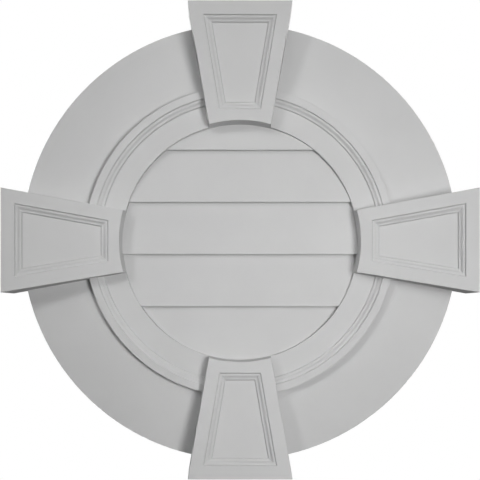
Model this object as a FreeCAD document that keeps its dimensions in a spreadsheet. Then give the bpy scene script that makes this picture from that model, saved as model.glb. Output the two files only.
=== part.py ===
"""Round gable vent, moulded in one piece: flange, raised ring, four keystones and closed louvres.

Frame: +Z is up, the flat back lies on the wall plane y = 0 and the face looks along -Y.
The origin is the middle of the back. A level is a height in front of the wall.
Sizes are in millimetres and degrees.
"""

import FreeCAD, Part
import math
import os
from enum import IntEnum, auto

import Sketcher

NODE = "gable_vent"
KEYSTONES = 4
FULL_TURN = 360.0


class Axis(IntEnum):
    """A sketch's own axis lines, as the sketcher numbers them."""

    ACROSS = -1
    UPRIGHT = -2


class Spot(IntEnum):
    """The points of an edge, as the sketcher numbers them."""

    START = auto()
    END = auto()
    CENTRE = auto()


ORIGIN = (Axis.ACROSS, Spot.START)

# Driving sizes: word, value
SIZES = (
    # Flange against the wall
    ("flange_diameter", 870.0),
    ("flange_thickness", 20.2),
    # Raised ring round the opening: inner band, moulding, then the rim at the outside
    ("opening_diameter", 471.0),
    ("band_width", 42.2),
    ("rim_width", 14.5),
    ("ring_rise", 18.9),
    # Ogee moulding between two small leaning steps, on the ring and round each panel
    ("moulding_width", 14.3),
    ("moulding_drop", 12.8),
    ("moulding_step", 3.6),
    ("step_lean", 26.0),
    # Keystones: rise and width at the outer end of the face, slope of the face, lean of the sides in front
    # view, and mould draft of the sides
    ("across_keystones", 914.4),
    ("keystone_rise", 71.9),
    ("keystone_width", 200.2),
    ("keystone_slope", 9.7),
    ("keystone_flare", 10.1),
    ("keystone_draft", 1.9),
    # Plain border between the edges of a keystone's face and its sunk panel
    ("border_outer", 25.0),
    ("border_side", 24.8),
    ("border_inner", 20.9),
    # Louvres: from lip to lip, the lowest lip above the bottom of the opening, the lips behind the
    # inner band, and the wall behind the roots
    ("louvre_pitch", 104.0),
    ("lowest_lip", 3.2),
    ("lip_setback", 3.5),
    ("louvre_back", 12.0),
    # Mould draft of the flange, ring and opening
    ("draft", 2.5),
    # Overlaps that only make the joins and trims whole
    ("keystone_bite", 30.0),
    ("louvre_embed", 8.0),
    ("trim_margin", 5.0),
)

# Sizes worked out from the driving ones: word, formula
WORKED = (
    # Moulding, shared by the ring and the panels
    ("step_run", "Sizes.moulding_step * tan(Sizes.step_lean)"),
    ("ogee_foot_depth", "Sizes.moulding_drop - Sizes.moulding_step"),
    # Levels in front of the wall
    ("rim_level", "Sizes.flange_thickness + Sizes.ring_rise"),
    ("rim_step_level", "rim_level - Sizes.moulding_step"),
    ("band_level", "rim_level - Sizes.moulding_drop"),
    ("band_step_level", "band_level + Sizes.moulding_step"),
    ("lip_level", "band_level - Sizes.lip_setback"),
    ("front_level", "Sizes.flange_thickness + Sizes.keystone_rise"),
    ("trim_level", "front_level + Sizes.trim_margin"),
    ("clear_level", "trim_level + Sizes.trim_margin"),
    # Radii from the middle
    ("flange_radius", "Sizes.flange_diameter / 2"),
    ("flange_back_radius", "flange_radius + Sizes.flange_thickness * tan(Sizes.draft)"),
    ("opening_radius", "Sizes.opening_diameter / 2"),
    ("band_radius", "opening_radius + Sizes.band_width"),
    ("band_step_radius", "band_radius + step_run"),
    ("rim_inner_radius", "band_radius + Sizes.moulding_width"),
    ("rim_step_radius", "rim_inner_radius - step_run"),
    ("ring_radius", "rim_inner_radius + Sizes.rim_width"),
    ("ring_foot_radius", "ring_radius + Sizes.ring_rise * tan(Sizes.draft)"),
    ("opening_back_radius", "opening_radius - (band_level + Sizes.trim_margin) * tan(Sizes.draft)"),
    ("opening_trim_radius", "opening_radius + (clear_level - band_level) * tan(Sizes.draft)"),
    ("louvre_radius", "opening_radius + Sizes.louvre_embed"),
    # Top keystone's block: heights, and half widths at the back and above the face
    ("keystone_top", "Sizes.across_keystones / 2"),
    ("keystone_foot", "opening_radius - Sizes.keystone_bite"),
    ("keystone_half", "Sizes.keystone_width / 2"),
    ("side_spread", "tan(Sizes.keystone_draft) / cos(Sizes.keystone_flare)"),
    ("foot_narrowing", "(keystone_top - keystone_foot) * tan(Sizes.keystone_flare)"),
    ("back_half", "keystone_half + front_level * side_spread"),
    ("back_foot_half", "back_half - foot_narrowing"),
    ("trim_half", "keystone_half - Sizes.trim_margin * side_spread"),
    ("trim_foot_half", "trim_half - foot_narrowing"),
    # Cut that slopes the face, from beyond the outer end to below the foot
    ("slope_top", "keystone_top + Sizes.trim_margin"),
    ("slope_foot", "keystone_foot - Sizes.trim_margin"),
    ("slope_top_level", "front_level + Sizes.trim_margin * tan(Sizes.keystone_slope)"),
    ("slope_foot_level", "front_level - (keystone_top - slope_foot) * tan(Sizes.keystone_slope)"),
    # Top keystone's face, measured along its slope from the outer end
    ("keystone_crest", "(opening_radius + (front_level - band_level - keystone_top * tan(Sizes.keystone_slope))"
                       " * tan(Sizes.draft)) / (1 - tan(Sizes.keystone_slope) * tan(Sizes.draft))"),
    ("face_length", "(keystone_top - keystone_crest) / cos(Sizes.keystone_slope)"),
    ("face_taper", "cos(Sizes.keystone_slope) * tan(Sizes.keystone_flare)"
                   " - sin(Sizes.keystone_slope) * side_spread"),
    ("panel_foot", "face_length - Sizes.border_inner"),
    ("panel_half", "keystone_half - Sizes.border_outer * face_taper"
                   " - Sizes.border_side * sqrt(1 + face_taper ^ 2)"),
    ("panel_foot_half", "panel_half - (panel_foot - Sizes.border_outer) * face_taper"),
    ("panel_ogee_start", "Sizes.border_outer + step_run"),
    ("panel_inner", "Sizes.border_outer + Sizes.moulding_width"),
    ("panel_ogee_end", "panel_inner - step_run"),
    # Louvres, counted up from the lowest lip
    ("lip_height", "Sizes.lowest_lip - opening_radius"),
    ("lip_above", "lip_height + Sizes.louvre_pitch"),
    ("louvre_count", "ceil(Sizes.opening_diameter / Sizes.louvre_pitch)"),
)

doc = FreeCAD.newDocument("GableVent")


def fill_sheet(name, rows):
    """A sheet with one row for each size, whose value cell has the size's word as alias."""
    sheet = doc.addObject("Spreadsheet::Sheet", name)
    for line, (word, value) in enumerate(rows, start=1):
        sheet.set(f"A{line}", word)
        sheet.set(f"B{line}", f"={value}" if isinstance(value, str) else str(value))
        sheet.setAlias(f"B{line}", word)
    doc.recompute()
    return sheet


sizes = fill_sheet("Sizes", SIZES)
worked = fill_sheet("Worked", WORKED)
HOME = {word: sheet for sheet, rows in ((sizes, SIZES), (worked, WORKED)) for word, _ in rows}


def formula(word):
    """The expression for a size's word, which may carry a minus sign."""
    plain = word.lstrip("-")
    return word.replace(plain, f"{HOME[plain].Name}.{plain}")


def number(word):
    """The present value of a size's word, which may carry a minus sign; 0 stands for itself."""
    plain = word.lstrip("-")
    value = 0.0 if plain == "0" else float(getattr(HOME[plain], plain))
    return -value if word.startswith("-") else value


def bind(thing, *pairs):
    """Tie properties to sizes: (property, word) each."""
    for name, word in pairs:
        thing.setExpression(name, formula(word))


def origin_part(body, role):
    """The plane or axis of the body's own origin that has this role."""
    return next(item for item in body.Origin.OriginFeatures if item.Role == role)


def add_sketch(body, name, role):
    """A sketch on one of the body's own origin planes."""
    sketch = body.newObject("Sketcher::SketchObject", name)
    sketch.AttachmentSupport = [(origin_part(body, role), "")]
    sketch.MapMode = "FlatFace"
    return sketch


def lay_on_slope(sketch, hinge, *offsets):
    """Move a sketch by offsets to the outer end of the top keystone's face, and turn it to the slope."""
    turn = FreeCAD.Rotation(hinge, number("keystone_slope"))
    sketch.AttachmentOffset = FreeCAD.Placement(FreeCAD.Vector(), turn)
    bind(sketch, ("AttachmentOffset.Rotation.Angle", "keystone_slope"), *offsets)


def pin(sketch, edge, label, words):
    """Hold the start of an edge at two coordinates that follow sizes."""
    for kind, axis, word in zip(("DistanceX", "DistanceY"), (Axis.UPRIGHT, Axis.ACROSS), words):
        if word == "0":
            sketch.addConstraint(Sketcher.Constraint("PointOnObject", edge, Spot.START, axis))
            continue
        index = sketch.addConstraint(Sketcher.Constraint(kind, *ORIGIN, edge, Spot.START, number(word)))
        name = f"{label}_{kind}"
        sketch.renameConstraint(index, name)
        bind(sketch, (f"Constraints.{name}", word))


def add_ogee(sketch, high, low):
    """Two equal arcs that leave both ends level and meet in the middle on one tangent.

    The first coordinate is the one that the curve drops along, the second the one that it runs along.
    """
    drop = low.x - high.x
    run = high.y - low.y
    radius = (run ** 2 + drop ** 2) / (4 * drop)
    turn = 2 * math.atan2(drop, run)
    up = FreeCAD.Vector(0, 0, 1)
    reach = FreeCAD.Vector(radius, 0, 0)
    crown = Part.ArcOfCircle(Part.Circle(high + reach, up, radius), math.pi, math.pi + turn)
    hollow = Part.ArcOfCircle(Part.Circle(low - reach, up, radius), 0, turn)
    first = sketch.addGeometry(crown, False)
    second = sketch.addGeometry(hollow, False)
    sketch.addConstraint(Sketcher.Constraint("Tangent", first, Spot.END, second, Spot.END))
    sketch.addConstraint(Sketcher.Constraint("Equal", first, second))
    for arc in (first, second):
        sketch.addConstraint(Sketcher.Constraint("Horizontal", arc, Spot.CENTRE, arc, Spot.START))
    return first, second


def add_outline(sketch, corners, ogee_from=None):
    """A closed outline through corners given as pairs of words, with one side an ogee if asked."""
    points = [FreeCAD.Vector(number(across), number(along), 0) for across, along in corners]
    leaving = []
    arriving = []
    for place, start in enumerate(points):
        end = points[(place + 1) % len(points)]
        if place == ogee_from:
            first, second = add_ogee(sketch, start, end)
            leaving.append(first)
            arriving.append((second, Spot.START))
        else:
            line = sketch.addGeometry(Part.LineSegment(start, end), False)
            leaving.append(line)
            arriving.append((line, Spot.END))
    for place, edge in enumerate(leaving):
        before, end = arriving[place - 1]
        sketch.addConstraint(Sketcher.Constraint("Coincident", before, end, edge, Spot.START))
        pin(sketch, edge, f"corner{place}", corners[place])


def solid_volume(feature):
    """Recompute, stop if anything in the document failed, and give the feature's volume."""
    doc.recompute()
    for item in doc.Objects:
        if "Invalid" in item.State or "Error" in item.State:
            raise RuntimeError(f"{item.Name} failed: {item.State}")
    if feature.Shape.isNull() or not feature.Shape.isValid():
        raise RuntimeError(f"{feature.Name} has no valid shape")
    return feature.Shape.Volume


def add_ring(body):
    """Flange, rim, moulding and inner band: one section turned about the middle."""
    section = add_sketch(body, "ring_section", "YZ_Plane")
    add_outline(section, (
        ("0", "0"),
        ("0", "flange_back_radius"),
        ("-flange_thickness", "flange_radius"),
        ("-flange_thickness", "ring_foot_radius"),
        ("-rim_level", "ring_radius"),
        ("-rim_level", "rim_inner_radius"),
        ("-rim_step_level", "rim_step_radius"),
        ("-band_step_level", "band_step_radius"),
        ("-band_level", "band_radius"),
        ("-band_level", "0"),
    ), ogee_from=6)
    ring = body.newObject("PartDesign::Revolution", "ring")
    ring.Profile = section
    ring.ReferenceAxis = (origin_part(body, "Y_Axis"), [""])
    ring.Angle = FULL_TURN
    solid_volume(ring)


def add_block(body):
    """The top keystone's block, flared in front view, with drafted sides and a sloped face."""
    back = add_sketch(body, "keystone_back", "XZ_Plane")
    add_outline(back, (
        ("-back_half", "keystone_top"),
        ("-back_foot_half", "keystone_foot"),
        ("back_foot_half", "keystone_foot"),
        ("back_half", "keystone_top"),
    ))
    front = add_sketch(body, "keystone_front", "XZ_Plane")
    bind(front, ("AttachmentOffset.Base.z", "trim_level"))
    add_outline(front, (
        ("-trim_half", "keystone_top"),
        ("-trim_foot_half", "keystone_foot"),
        ("trim_foot_half", "keystone_foot"),
        ("trim_half", "keystone_top"),
    ))
    block = body.newObject("PartDesign::AdditiveLoft", "keystone_block")
    block.Profile = back
    block.Sections = [front]
    block.Ruled = True
    whole = solid_volume(block)

    section = add_sketch(body, "slope_section", "YZ_Plane")
    add_outline(section, (
        ("-slope_top_level", "slope_top"),
        ("-slope_foot_level", "slope_foot"),
        ("-clear_level", "slope_foot"),
        ("-clear_level", "slope_top"),
    ))
    slope = body.newObject("PartDesign::Pocket", "keystone_slope")
    slope.Profile = section
    slope.Type = "ThroughAll"
    slope.SideType = "Symmetric"
    if solid_volume(slope) >= whole:
        raise RuntimeError("the keystone's face is not sloped")
    return [block, slope]


def add_panel(body):
    """The sunk panel in the top keystone's sloped face, inside a mitred ogee moulding."""
    edge = add_sketch(body, "panel_edge", "XZ_Plane")
    lay_on_slope(
        edge, FreeCAD.Vector(1, 0, 0),
        ("AttachmentOffset.Base.y", "keystone_top"), ("AttachmentOffset.Base.z", "front_level"),
    )
    add_outline(edge, (
        ("0", "-border_outer"),
        ("-panel_half", "-border_outer"),
        ("-panel_foot_half", "-panel_foot"),
        ("panel_foot_half", "-panel_foot"),
        ("panel_half", "-border_outer"),
    ))
    sink = body.newObject("PartDesign::Pocket", "panel_sink")
    sink.Profile = edge
    bind(sink, ("Length", "moulding_drop"))
    solid_volume(sink)

    section = add_sketch(body, "panel_moulding_section", "YZ_Plane")
    lay_on_slope(
        section, FreeCAD.Vector(0, 0, 1),
        ("AttachmentOffset.Base.x", "-front_level"), ("AttachmentOffset.Base.y", "keystone_top"),
    )
    add_outline(section, (
        ("moulding_drop", "-border_outer"),
        ("0", "-border_outer"),
        ("moulding_step", "-panel_ogee_start"),
        ("ogee_foot_depth", "-panel_ogee_end"),
        ("moulding_drop", "-panel_inner"),
    ), ogee_from=2)
    moulding = body.newObject("PartDesign::AdditivePipe", "panel_moulding")
    moulding.Profile = section
    moulding.Spine = (edge, [])
    moulding.Transition = "Right corner"
    solid_volume(moulding)
    return [sink, moulding]


def add_keystones(body):
    """The top keystone and its copies, spaced evenly round the ring."""
    features = add_block(body) + add_panel(body)
    pattern = body.newObject("PartDesign::PolarPattern", "keystones")
    pattern.Originals = features
    pattern.Axis = (origin_part(body, "Y_Axis"), [""])
    pattern.Angle = FULL_TURN
    pattern.Occurrences = KEYSTONES
    body.Tip = pattern
    solid_volume(pattern)


def cut_opening(body):
    """The round opening, drafted, which also hollows the inner ends of the keystones."""
    before = body.Shape.Volume
    section = add_sketch(body, "opening_section", "YZ_Plane")
    add_outline(section, (
        ("trim_margin", "0"),
        ("trim_margin", "opening_back_radius"),
        ("-clear_level", "opening_trim_radius"),
        ("-clear_level", "0"),
    ))
    opening = body.newObject("PartDesign::Groove", "opening")
    opening.Profile = section
    opening.ReferenceAxis = (origin_part(body, "Y_Axis"), [""])
    opening.Angle = FULL_TURN
    if solid_volume(opening) >= before:
        raise RuntimeError("the opening cuts nothing")


def add_surround():
    """Flange, ring and keystones round the opening."""
    body = doc.addObject("PartDesign::Body", "surround")
    add_ring(body)
    add_keystones(body)
    cut_opening(body)
    return body


def add_louvres():
    """A round plate behind the opening, cut into overlapping slats that lean out to their lips."""
    body = doc.addObject("PartDesign::Body", "louvres")
    outline = add_sketch(body, "louvre_outline", "XZ_Plane")
    circle = Part.Circle(FreeCAD.Vector(), FreeCAD.Vector(0, 0, 1), number("louvre_radius"))
    edge = outline.addGeometry(circle, False)
    outline.addConstraint(Sketcher.Constraint("Coincident", edge, Spot.CENTRE, *ORIGIN))
    index = outline.addConstraint(Sketcher.Constraint("Radius", edge, number("louvre_radius")))
    outline.renameConstraint(index, "radius")
    bind(outline, ("Constraints.radius", "louvre_radius"))
    plate = body.newObject("PartDesign::Pad", "louvre_plate")
    plate.Profile = outline
    bind(plate, ("Length", "lip_level"))
    whole = solid_volume(plate)

    section = add_sketch(body, "slat_section", "YZ_Plane")
    add_outline(section, (
        ("-lip_level", "lip_height"),
        ("-louvre_back", "lip_above"),
        ("-lip_level", "lip_above"),
    ))
    slope = body.newObject("PartDesign::Pocket", "slat_slope")
    slope.Profile = section
    slope.Type = "ThroughAll"
    slope.SideType = "Symmetric"
    one_cut = solid_volume(slope)
    slats = body.newObject("PartDesign::LinearPattern", "slats")
    slats.Originals = [slope]
    slats.Direction = (origin_part(body, "Z_Axis"), [""])
    slats.Mode = "Spacing"
    bind(slats, ("Offset", "louvre_pitch"), ("Occurrences", "louvre_count"))
    body.Tip = slats
    if not whole > one_cut > solid_volume(slats):
        raise RuntimeError("the slats are not all cut")
    return body


def main():
    surround = add_surround()
    louvres = add_louvres()
    vent = doc.addObject("Part::Fuse", NODE)
    vent.Label = NODE
    vent.Base = surround
    vent.Tool = louvres
    vent.Refine = True
    solid_volume(vent)
    if len(vent.Shape.Solids) != 1:
        raise RuntimeError(f"{NODE} is {len(vent.Shape.Solids)} solids, not one")
    os.makedirs("parts", exist_ok=True)
    vent.Shape.exportStep(f"parts/{vent.Label}.step")
    print(NODE, vent.Shape.BoundBox, round(vent.Shape.Volume), len(vent.Shape.Faces), "faces")


main()
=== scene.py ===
"""A round gable vent in pale grey primer, seen square on from the front against white.

Lengths are metres in the part's own frame: +Z is up, the wall plane is y = 0 and the face looks along -Y.
"""

import math

import bpy
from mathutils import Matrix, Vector

NODE = "gable_vent"

# Camera, with the picture's scale and the vent's centre taken in the plane of the flange's face
IMAGE_SIDE_PX = 480
METRES_PER_PX = 0.0019984
VENT_CENTRE_PX = (239.92, 241.94)
FLANGE_FACE_Y = -0.0202
CAMERA_DISTANCE = 1.5987
CAMERA_X = -0.01
CAMERA_Z = -0.0878
SENSOR_WIDTH_MM = 36.0
QUARTER_TURN = math.radians(90.0)

# Background and floor
WHITE = (1.0, 1.0, 1.0, 1.0)
FLOOR_Z = -1.0
FLOOR_RADIUS = 1.9
FLOOR_SIDES = 96
FLOOR_LIGHT = (0.62, 0.62, 0.62, 1.0)
FLOOR_DARK = (0.58, 0.58, 0.58, 1.0)
FLOOR_GLOW = (0.4, 0.4, 0.4, 1.0)
FLOOR_ROUGHNESS = 0.9
FLOOR_CELLS = 2.0

# Primer, with the cells of each pattern counted to the metre
PRIMER_LIGHT = (0.545, 0.545, 0.545, 1.0)
PRIMER_DARK = (0.525, 0.525, 0.525, 1.0)
PRIMER_SPECULAR = 0.15
LEAST_ROUGHNESS = 0.58
MOST_ROUGHNESS = 0.7
COVER_CELLS = 9.0
SHEEN_CELLS = 60.0
GRAIN_CELLS = 700.0
GRAIN_STRENGTH = 0.3
GRAIN_DEPTH = 0.0002
EDGE_ROUND = 0.0015
EDGE_SAMPLES = 8

# Values of a pattern at which a two-tone colour is wholly dark and wholly light
WHOLLY_DARK = 0.3
WHOLLY_LIGHT = 0.7

# Degrees that the rear lamps stand to either side of the way the face looks
REAR_ANGLE = 130.0


def new_material(name):
    """A new node material, its node tree and its shader."""
    material = bpy.data.materials.new(name)
    material.use_nodes = True
    tree = material.node_tree
    return material, tree, tree.nodes["Principled BSDF"]


def noise(tree, cells, detail=2.0, roughness=0.5):
    """A noise pattern in the object's own coordinates."""
    place = tree.nodes.new("ShaderNodeTexCoord")
    texture = tree.nodes.new("ShaderNodeTexNoise")
    texture.inputs["Scale"].default_value = cells
    texture.inputs["Detail"].default_value = detail
    texture.inputs["Roughness"].default_value = roughness
    tree.links.new(place.outputs["Object"], texture.inputs["Vector"])
    return texture.outputs["Fac"]


def two_tones(tree, pattern, dark, light):
    """A colour that runs from dark to light with the pattern."""
    ramp = tree.nodes.new("ShaderNodeValToRGB")
    start, end = ramp.color_ramp.elements
    start.position = WHOLLY_DARK
    start.color = dark
    end.position = WHOLLY_LIGHT
    end.color = light
    tree.links.new(pattern, ramp.inputs["Fac"])
    return ramp.outputs["Color"]


def between(tree, pattern, low, high):
    """A number that runs from low to high with the pattern."""
    spread = tree.nodes.new("ShaderNodeMapRange")
    spread.inputs["To Min"].default_value = low
    spread.inputs["To Max"].default_value = high
    tree.links.new(pattern, spread.inputs["Value"])
    return spread.outputs["Result"]


def rounded_edges(tree):
    """A normal that rounds the edges off in the shading alone, by less than a pixel of the main view."""
    rounding = tree.nodes.new("ShaderNodeBevel")
    rounding.samples = EDGE_SAMPLES
    rounding.inputs["Radius"].default_value = EDGE_ROUND
    return rounding.outputs["Normal"]


def grained(tree, normal):
    """The normal with the fine grain of sprayed primer on it."""
    grain = tree.nodes.new("ShaderNodeBump")
    grain.inputs["Strength"].default_value = GRAIN_STRENGTH
    grain.inputs["Distance"].default_value = GRAIN_DEPTH
    tree.links.new(normal, grain.inputs["Normal"])
    tree.links.new(noise(tree, GRAIN_CELLS), grain.inputs["Height"])
    return grain.outputs["Normal"]


def seen_directly(tree):
    """One for what the camera sees, also in a reflection or through glass, and nought for other light."""
    path = tree.nodes.new("ShaderNodeLightPath")
    seen = path.outputs["Is Camera Ray"]
    for other in ("Is Glossy Ray", "Is Transmission Ray"):
        larger = tree.nodes.new("ShaderNodeMath")
        larger.operation = "MAXIMUM"
        tree.links.new(seen, larger.inputs[0])
        tree.links.new(path.outputs[other], larger.inputs[1])
        seen = larger.outputs["Value"]
    return seen


def primer_material():
    """Sprayed matte primer: faint uneven cover, uneven sheen, a very fine grain and softened edges."""
    material, tree, shader = new_material("primer")
    cover = noise(tree, COVER_CELLS, detail=3.0, roughness=0.55)
    sheen = noise(tree, SHEEN_CELLS)
    tree.links.new(two_tones(tree, cover, PRIMER_DARK, PRIMER_LIGHT), shader.inputs["Base Color"])
    tree.links.new(between(tree, sheen, LEAST_ROUGHNESS, MOST_ROUGHNESS), shader.inputs["Roughness"])
    tree.links.new(grained(tree, rounded_edges(tree)), shader.inputs["Normal"])
    shader.inputs["Specular IOR Level"].default_value = PRIMER_SPECULAR
    return material


def floor_material():
    """A faintly uneven matte studio floor, pale only to the eye so that it throws no light up."""
    material, tree, shader = new_material("studio_floor")
    tones = two_tones(tree, noise(tree, FLOOR_CELLS), FLOOR_DARK, FLOOR_LIGHT)
    seen = seen_directly(tree)
    seen_tones = tree.nodes.new("ShaderNodeVectorMath")
    seen_tones.operation = "SCALE"
    tree.links.new(tones, seen_tones.inputs["Vector"])
    tree.links.new(seen, seen_tones.inputs["Scale"])
    tree.links.new(seen_tones.outputs["Vector"], shader.inputs["Base Color"])
    tree.links.new(seen, shader.inputs["Emission Strength"])
    shader.inputs["Emission Color"].default_value = FLOOR_GLOW
    shader.inputs["Roughness"].default_value = FLOOR_ROUGHNESS
    return material


def paint(vent, material):
    """The vent wears one material in all of its slots."""
    for slot in vent.material_slots:
        slot.material = material


def add_floor():
    """A round floor under the vent, wholly below the main view."""
    bpy.ops.mesh.primitive_circle_add(
        vertices=FLOOR_SIDES, radius=FLOOR_RADIUS, fill_type="NGON", location=(0.0, 0.0, FLOOR_Z)
    )
    floor = bpy.context.object
    floor.name = "studio_floor"
    floor.data.materials.append(floor_material())


def set_world():
    """White to the eye and in reflections, and dark to all else, so that only lamps light the vent."""
    world = bpy.data.worlds.new("studio")
    bpy.context.scene.world = world
    world.use_nodes = True
    tree = world.node_tree
    background = tree.nodes["Background"]
    background.inputs["Color"].default_value = WHITE
    tree.links.new(seen_directly(tree), background.inputs["Strength"])


def add_lamp(name, right, above, distance, width, beam, watts):
    """A square soft box that faces the vent's middle, with right, above and beam in degrees."""
    across = math.radians(right)
    up = math.radians(above)
    away = Vector((math.sin(across) * math.cos(up), -math.cos(across) * math.cos(up), math.sin(up)))
    data = bpy.data.lights.new(name, "AREA")
    data.shape = "SQUARE"
    data.size = width
    data.spread = math.radians(beam)
    data.energy = watts
    lamp = bpy.data.objects.new(name, data)
    bpy.context.collection.objects.link(lamp)
    lamp.location = away * distance
    lamp.rotation_euler = away.to_track_quat("Z", "Y").to_euler()


def add_lamps():
    """Four soft boxes in front that cast the shadows on the face, and two behind for the back and sides."""
    add_lamp("key_lamp", right=21.0, above=-2.0, distance=2.07, width=0.62, beam=127.5, watts=14.4)
    add_lamp("fill_lamp", right=-34.0, above=20.0, distance=3.63, width=0.85, beam=30.0, watts=1.16)
    add_lamp("high_fill_lamp", right=-11.0, above=31.0, distance=2.72, width=1.2, beam=52.5, watts=1.18)
    add_lamp("top_lamp", right=-12.0, above=88.0, distance=1.67, width=0.44, beam=45.0, watts=0.71)
    for side, right in (("right", REAR_ANGLE), ("left", -REAR_ANGLE)):
        name = f"rear_{side}_lamp"
        add_lamp(name, right=right, above=25.0, distance=2.6, width=1.2, beam=90.0, watts=12.0)


def add_camera():
    """A camera square on to the wall, a little low, with the frame shifted to hold the vent."""
    frame_width = IMAGE_SIDE_PX * METRES_PER_PX
    middle_px = IMAGE_SIDE_PX / 2
    middle_x = (middle_px - VENT_CENTRE_PX[0]) * METRES_PER_PX
    middle_z = (VENT_CENTRE_PX[1] - middle_px) * METRES_PER_PX
    data = bpy.data.cameras.new("camera")
    data.sensor_fit = "HORIZONTAL"
    data.sensor_width = SENSOR_WIDTH_MM
    data.lens = SENSOR_WIDTH_MM * CAMERA_DISTANCE / frame_width
    data.shift_x = (middle_x - CAMERA_X) / frame_width
    data.shift_y = (middle_z - CAMERA_Z) / frame_width
    camera = bpy.data.objects.new("camera", data)
    bpy.context.collection.objects.link(camera)
    camera.location = (CAMERA_X, FLANGE_FACE_Y - CAMERA_DISTANCE, CAMERA_Z)
    camera.rotation_euler = (QUARTER_TURN, 0.0, 0.0)
    bpy.context.scene.camera = camera


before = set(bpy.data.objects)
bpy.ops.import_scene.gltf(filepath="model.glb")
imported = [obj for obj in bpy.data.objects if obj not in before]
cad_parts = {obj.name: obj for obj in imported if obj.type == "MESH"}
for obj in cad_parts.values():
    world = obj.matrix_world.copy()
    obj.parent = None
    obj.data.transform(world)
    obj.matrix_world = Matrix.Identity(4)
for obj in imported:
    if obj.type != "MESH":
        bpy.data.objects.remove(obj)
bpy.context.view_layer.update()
paint(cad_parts[NODE], primer_material())
add_floor()
set_world()
add_lamps()
add_camera()
bpy.context.scene.view_settings.view_transform = "Standard"
